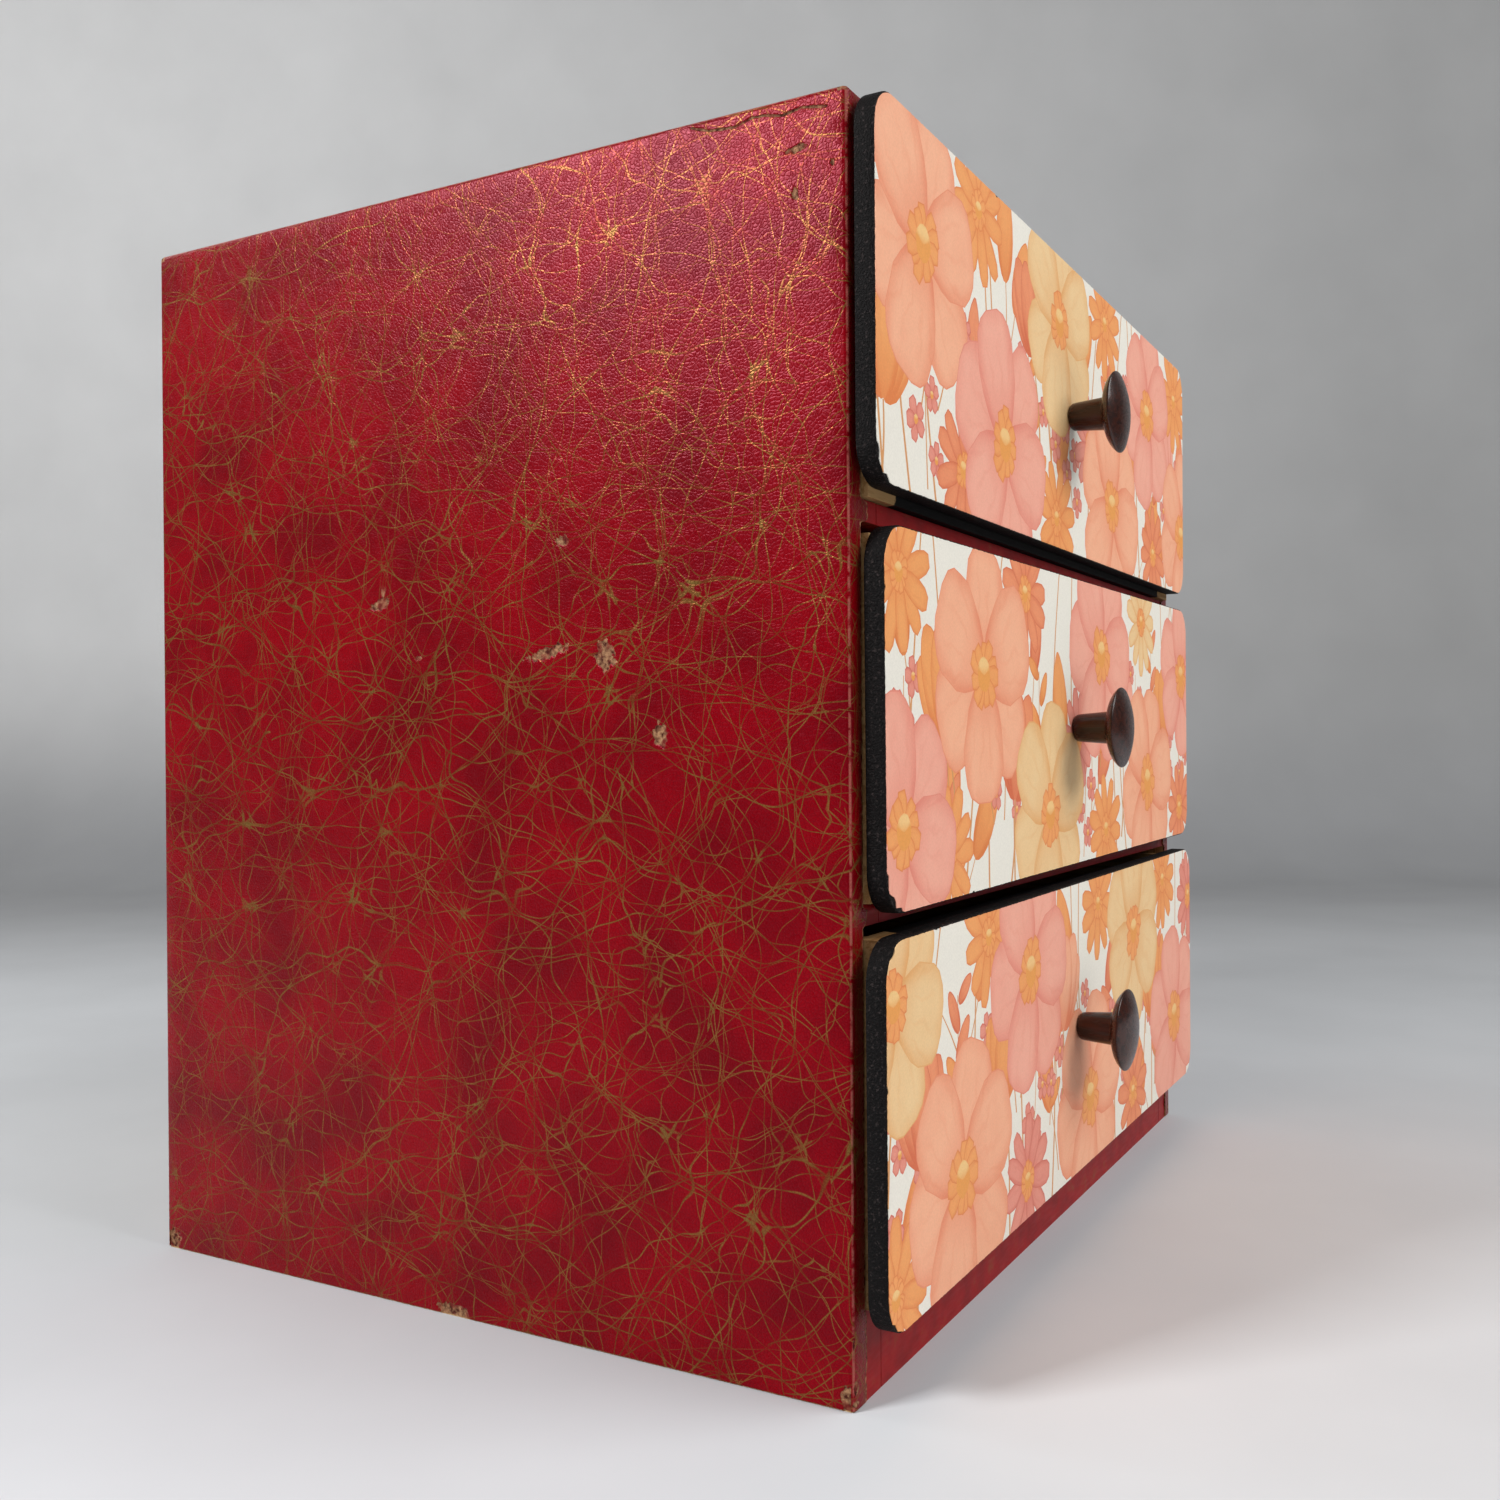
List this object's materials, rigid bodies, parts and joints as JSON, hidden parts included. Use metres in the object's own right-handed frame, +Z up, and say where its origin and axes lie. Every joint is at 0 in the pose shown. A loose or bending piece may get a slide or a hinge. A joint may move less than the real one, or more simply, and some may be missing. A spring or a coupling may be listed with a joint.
{
  "type": "small drawer cabinet",
  "caption": "Tabletop sewing chest: leatherette-covered box with wooden drawers that slide out behind paper-faced, round-cornered fronts with turned knobs.",
  "frame": {"origin": "on the floor under the middle of the carcass, as measured over the leatherette without the drawer fronts", "axes": "+Z up, the drawers open towards -Y, +X to the right of someone who faces them"},
  "size_m": [0.3055, 0.2564, 0.3],
  "materials": {
    "leatherette": "crimson embossed leatherette with a fine gold-brown crackle print",
    "red_painted_wood": "dark red paint on softwood",
    "bare_wood": "bare sawn softwood",
    "box_wood": "bare planed light wood",
    "plywood": "thin bare plywood",
    "black_board": "rough black paint on the edges of a thin board",
    "printed_paper": "off-white paper with a coral and orange floral print",
    "lacquered_wood": "dark brown glossy lacquer on turned wood",
    "steel": "dull drawn wire"
  },
  "bodies": {
    "cabinet": {"left_side_panel": "bare_wood", "right_side_panel": "bare_wood", "top_panel": "bare_wood", "back_panel": "plywood", "bottom_panel": "plywood", "base_rail": "red_painted_wood", "lower_rail": "red_painted_wood", "upper_rail": "red_painted_wood", "base_left_runner": "bare_wood", "base_right_runner": "bare_wood", "lower_left_runner": "bare_wood", "lower_right_runner": "bare_wood", "upper_left_runner": "bare_wood", "upper_right_runner": "bare_wood", "leatherette_wrap": "leatherette", "side_nails": "steel", "top_nails": "steel", "back_nails": "steel", "bottom_nails": "steel"},
    "bottom_drawer": {"bottom_drawer_front_board": "black_board", "bottom_drawer_front_paper": "printed_paper", "bottom_drawer_box_front": "box_wood", "bottom_drawer_left_side": "box_wood", "bottom_drawer_right_side": "box_wood", "bottom_drawer_back": "box_wood", "bottom_drawer_bottom": "plywood", "bottom_drawer_nails": "steel", "bottom_drawer_knob": "lacquered_wood", "bottom_drawer_knob_screw": "steel"},
    "middle_drawer": {"middle_drawer_front_board": "black_board", "middle_drawer_front_paper": "printed_paper", "middle_drawer_box_front": "box_wood", "middle_drawer_left_side": "box_wood", "middle_drawer_right_side": "box_wood", "middle_drawer_back": "box_wood", "middle_drawer_bottom": "plywood", "middle_drawer_nails": "steel", "middle_drawer_knob": "lacquered_wood", "middle_drawer_knob_screw": "steel"},
    "top_drawer": {"top_drawer_front_board": "black_board", "top_drawer_front_paper": "printed_paper", "top_drawer_box_front": "box_wood", "top_drawer_left_side": "box_wood", "top_drawer_right_side": "box_wood", "top_drawer_back": "box_wood", "top_drawer_bottom": "plywood", "top_drawer_nails": "steel", "top_drawer_knob": "lacquered_wood", "top_drawer_knob_screw": "steel"}
  },
  "joints": [
    {"name": "bottom_drawer_slide", "type": "slide", "parent": "cabinet", "child": "bottom_drawer", "axis": [0, -1, 0], "range_m": [-0.0034, 0.19]},
    {"name": "middle_drawer_slide", "type": "slide", "parent": "cabinet", "child": "middle_drawer", "axis": [0, -1, 0], "range_m": [-0.0013, 0.19]},
    {"name": "top_drawer_slide", "type": "slide", "parent": "cabinet", "child": "top_drawer", "axis": [0, -1, 0], "range_m": [-0.0012, 0.19]}
  ]
}
